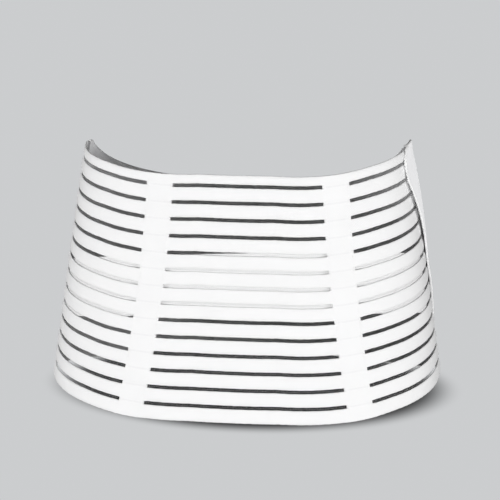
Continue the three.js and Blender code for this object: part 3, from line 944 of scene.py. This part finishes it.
def front_panel(name, node, places, low, high, faces):
    """A panel between two edge lines, its edges rounded by a bevel; its flat size and area are worked out
    but not used.
    """
    z = lerp(low[:, None], high[:, None], PANEL_ROWS)
    inner, outer = faces(places[:, None], z)
    piece = sheet_piece(name, places, z, inner, outer, PANEL)
    bevel = piece.modifiers.new("rounded_edges", "BEVEL")
    bevel.width = EDGE_ROUND
    bevel.segments = 2
    bevel.limit_method = "ANGLE"
    bevel.angle_limit = EDGE_ANGLE
    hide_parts(node)
    flat = float(high.max() - low.min()), float(lengths_along(places)[-1])
    panel_area(places, low, high)
    return piece


def outer_panel():
    """Left front panel, across the front to its slanted free end on the right side."""
    corner = [float(place_at(FLAP_END_OFFSET + share * FLAP_CORNER, 0.0)) for share in CORNER_SHARES]
    places = places_between(OUTER_PANEL_START, OUTER_PANEL_END, PANEL_STEP, corner)

    def faces(place, z):
        inner = flap_inner(place, z)
        return inner, inner + PANEL_THICKNESS

    low, high = flap_bottom(places), flap_top(places)
    return front_panel("front_panel_outer", "front_panel_left", places, low, high, faces)


def under_panel():
    """Right front panel, beneath the flap."""
    places = places_between(float(place_behind_seam(SEAM_OVERLAP)), UNDER_PANEL_END, PANEL_STEP)

    def faces(place, z):
        return np.full(z.shape, SEWN_FACE), np.full(z.shape, UNDER_PANEL_FACE)

    low = front_bottom(places) + UNDER_PANEL_INSET
    high = front_top(places) - UNDER_PANEL_INSET
    return front_panel("front_panel_under", "front_panel_right", places, low, high, faces)


def hook_patch():
    """Hook tape on the flap's inner face, inset from its edges."""
    start = float(place_before_seam(HOOK_INSET))
    places = places_between(start, float(place_before_seam(HOOK_INSET + HOOK_LENGTH)))
    low = flap_bottom(places) + HOOK_INSET
    high = flap_top(places) - HOOK_INSET
    z = lerp(low[:, None], high[:, None], np.linspace(0, 1, HOOK_ROWS))
    outer = flap_inner(places[:, None], z) - LAYER_GAP
    piece = sheet_piece("hook_patch", places, z, outer - HOOK_THICKNESS, outer, HOOKS)
    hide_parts("hook_tab")


def rolled_edge():
    """Rolled hem round the outer panel: along its top edge, down its free end and along its bottom edge.

    A round cord a little thicker than the cloth follows the edge line, halfway between the two faces.
    """
    start = OUTER_PANEL_START
    places = places_between(start, OUTER_PANEL_END, PANEL_STEP / 2)
    down = lerp(flap_top(start), flap_bottom(start), np.linspace(0, 1, 9)[1:-1])
    around = np.concatenate([places[::-1], np.full(len(down), start), places])
    level = np.concatenate([flap_top(places)[::-1], down, flap_bottom(places)])
    middle = flap_inner(around, level) + PANEL_THICKNESS / 2
    line = on_form(around, level, middle)
    outward = on_form(around, level, middle + MM) - line
    widths = np.full(len(line), ROLL_THICKNESS / 2)
    piece = thread_piece("rolled_edge", line[None], widths, HEM_ROLL, sides=10, outward=outward[None])


def hem_stitches():
    """Stitches a hem's width inside the outer panel's edges.

    They run across the front from side seam to side seam, because the free end is only rolled. On the
    inner face they start past the under panel.
    """
    places = places_between(SIDE_SEAM, FULL_TURN - SIDE_SEAM, PANEL_STEP)
    along = lengths_along(places)
    pieces = []
    for word, edge, side in (("top", flap_top, -1), ("bottom", flap_bottom, 1)):
        z = edge(places)
        slope = np.gradient(z, along)
        square = np.hypot(1, slope)
        shifted = np.interp(along - side * HEM * slope / square, along, places)
        level = z + side * HEM / square
        above = level > flap_bottom(shifted) + HEM_CLEAR
        within = above & (level < flap_top(shifted) - HEM_CLEAR)
        shifted, level = shifted[within], level[within]
        face = flap_inner(shifted, level)
        name = f"hem_stitches_{word}"
        pieces.append(seam_stitches(name, shifted, level, face + PANEL_THICKNESS, 1, "panel_cloth"))
        past = shifted > UNDER_PANEL_END
        line = shifted[past], level[past], face[past]
        pieces.append(seam_stitches(f"{name}_inside", *line, -1, "panel_cloth"))
    return pieces


# Studio

PALE = (0.60, 0.61, 0.62)
AMBIENT = 0.02
LIGHT_DISTANCE = 2.4
LIGHT_HEIGHT = 0.2
SOFT_BOX_TALL = 0.5
FLOOR_SIZE = 40.0
FLOOR_GAP = 4 * MM
SHADOW_FORWARD = 40 * MM
SHADOW_HALF_WIDTH = 182 * MM
SHADOW_HALF_DEPTH = 110 * MM
SHADOW_INNER = 0.9
SHADOW_OUTER = 1.2
SHADOW_DEPTH = 0.94


def lamp_group(name, pieces, state):
    """A group of pieces for a lamp: it lights only these (INCLUDE), or all but these (EXCLUDE)."""
    group = bpy.data.collections.new(name)
    for piece in pieces:
        group.objects.link(piece)
    for member in group.collection_objects:
        member.light_linking.link_state = state
    return group


def soft_box(name, azimuth, width, power, lit=None):
    """A wide soft box facing the belt, at an azimuth in degrees from straight behind it."""
    data = bpy.data.lights.new(name, "AREA")
    data.shape = "RECTANGLE"
    data.size, data.size_y = width, SOFT_BOX_TALL
    data.energy = power
    light = bpy.data.objects.new(name, data)
    turn = np.radians(azimuth)
    light.location = (LIGHT_DISTANCE * np.sin(turn), -LIGHT_DISTANCE * np.cos(turn), LIGHT_HEIGHT)
    light.rotation_euler = (-light.location).to_track_quat("-Z", "Y").to_euler()
    light.visible_camera = False
    light.light_linking.receiver_collection = lit
    bpy.context.scene.collection.objects.link(light)


def studio(panels):
    """Low soft boxes all round the belt, stronger behind it, in a pale surround.

    The boxes behind the belt don't light the front panels, so that nothing bright shows through the
    sheer rows. The panels have three boxes of their own, and a weak one reaches inside.
    """
    all_but_panels = lamp_group("lit_from_behind", panels, "EXCLUDE")
    only_panels = lamp_group("lit_from_the_front", panels, "INCLUDE")
    soft_box("key", 6, 2.4, 46, all_but_panels)
    soft_box("left_fill", -68, 2.0, 36, all_but_panels)
    soft_box("right_fill", 68, 2.0, 32, all_but_panels)
    soft_box("right_front_fill", 80, 1.6, 60, only_panels)
    soft_box("left_front_fill", -110, 1.6, 24, only_panels)
    soft_box("front_fill", 180, 2.4, 26, only_panels)
    soft_box("inside_fill", 180, 1.6, 10)
    world = bpy.data.worlds.new("pale_surround")
    bpy.context.scene.world = world
    world.use_nodes = True
    nodes, links = world.node_tree.nodes, world.node_tree.links
    seen = nodes["Background"]
    seen.inputs["Color"].default_value = (*PALE, 1)
    faint = nodes.new("ShaderNodeBackground")
    faint.inputs["Color"].default_value = (1, 1, 1, 1)
    faint.inputs["Strength"].default_value = AMBIENT
    mix = nodes.new("ShaderNodeMixShader")
    path = nodes.new("ShaderNodeLightPath")
    links.new(path.outputs["Is Camera Ray"], mix.inputs["Fac"])
    links.new(faint.outputs[0], mix.inputs[1])
    links.new(seen.outputs[0], mix.inputs[2])
    links.new(mix.outputs[0], nodes["World Output"].inputs["Surface"])


def floor_finish():
    """Even pale tone with a soft oval shadow under the belt, a little towards its front.

    Its depth eases off with the distance from its middle, measured in its half width and half depth.
    """
    material = bpy.data.materials.new("pale_floor")
    material.use_nodes = True
    nodes, links = material.node_tree.nodes, material.node_tree.links
    shader = nodes["Principled BSDF"]
    shader.inputs["Base Color"].default_value = (0, 0, 0, 1)
    shader.inputs["Roughness"].default_value = 1.0
    shader.inputs["Specular IOR Level"].default_value = 0.0
    shader.inputs["Emission Color"].default_value = (*PALE, 1)
    where = nodes.new("ShaderNodeTexCoord")
    flat = nodes.new("ShaderNodeMapping")
    flat.inputs["Location"].default_value = (0, -SHADOW_FORWARD / SHADOW_HALF_DEPTH, 0)
    flat.inputs["Scale"].default_value = (1 / SHADOW_HALF_WIDTH, 1 / SHADOW_HALF_DEPTH, 0)
    length = nodes.new("ShaderNodeVectorMath")
    length.operation = "LENGTH"
    ease = nodes.new("ShaderNodeMapRange")
    ease.interpolation_type = "SMOOTHERSTEP"
    ease.inputs["From Min"].default_value = SHADOW_INNER
    ease.inputs["From Max"].default_value = SHADOW_OUTER
    ease.inputs["To Min"].default_value = 1 - SHADOW_DEPTH
    links.new(where.outputs["Object"], flat.inputs["Vector"])
    links.new(flat.outputs["Vector"], length.inputs[0])
    links.new(length.outputs["Value"], ease.inputs["Value"])
    links.new(ease.outputs["Result"], shader.inputs["Emission Strength"])
    return material


def floor(lowest):
    """Pale floor just under the belt, which lights nothing."""
    side = FLOOR_SIZE / 2
    level = lowest - FLOOR_GAP
    corners = [(-side, -side, level), (side, -side, level), (side, side, level), (-side, side, level)]
    mesh = bpy.data.meshes.new("pale_floor")
    mesh.from_pydata(corners, [], [(0, 1, 2, 3)])
    mesh.materials.append(floor_finish())
    ground = bpy.data.objects.new("pale_floor", mesh)
    ground.visible_diffuse = False
    ground.visible_glossy = False
    bpy.context.scene.collection.objects.link(ground)
    ground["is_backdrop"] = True


def camera():
    """The photograph's camera: square on the belt's back, from a few degrees right and 18 above."""
    data = bpy.data.cameras.new("camera")
    data.lens = VIEW_LENS
    data.sensor_width = SENSOR_WIDTH
    level = np.cos(VIEW_ELEVATION)
    aside, ahead = -np.sin(VIEW_AZIMUTH) * level, np.cos(VIEW_AZIMUTH) * level
    looking = Vector((aside, ahead, -np.sin(VIEW_ELEVATION)))
    eye = bpy.data.objects.new("camera", data)
    eye.location = VIEW_TARGET - VIEW_DISTANCE * looking
    eye.rotation_euler = looking.to_track_quat("-Z", "Y").to_euler()
    bpy.context.scene.collection.objects.link(eye)
    bpy.context.scene.camera = eye


camera()
striped_elastic()
net_threads()
net_runs()
stay_casing("casing_left", "stay_casing_left", -1)
stay_casing("casing_right", "stay_casing_right", 1)
inner_band()
upright_seams()
panels = [under_panel(), outer_panel(), *hem_stitches()]
rolled_edge()
hook_patch()
studio(panels)
visual_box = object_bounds()
floor(visual_box[0].z)
bpy.context.scene.view_settings.view_transform = "Standard"
